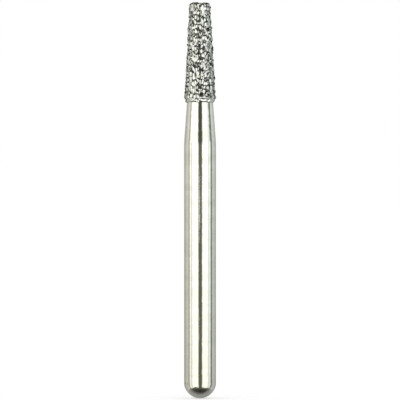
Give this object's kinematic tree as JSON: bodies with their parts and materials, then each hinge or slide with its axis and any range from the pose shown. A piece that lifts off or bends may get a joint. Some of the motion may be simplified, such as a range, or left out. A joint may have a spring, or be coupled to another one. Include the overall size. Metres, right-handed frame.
{
  "type": "dental bur",
  "caption": "Slim rotary cutter with a round-ended friction-grip shank, a tapered neck and a flat-ended tapered head coated with coarse diamond grit in nickel.",
  "frame": {"origin": "middle of the shank's rounded end", "axes": "+Z along the axis, from the shank's rounded end towards the head's flat tip"},
  "size_m": [0.0016, 0.0016, 0.0198],
  "materials": {
    "ground_steel": "ground and polished round the axis",
    "nickel_and_diamond": "electroplated nickel with coarse diamond grains standing out of it"
  },
  "bodies": {
    "root": {"steel_blank": "ground_steel", "diamond_coat": "nickel_and_diamond"}
  },
  "joints": []
}
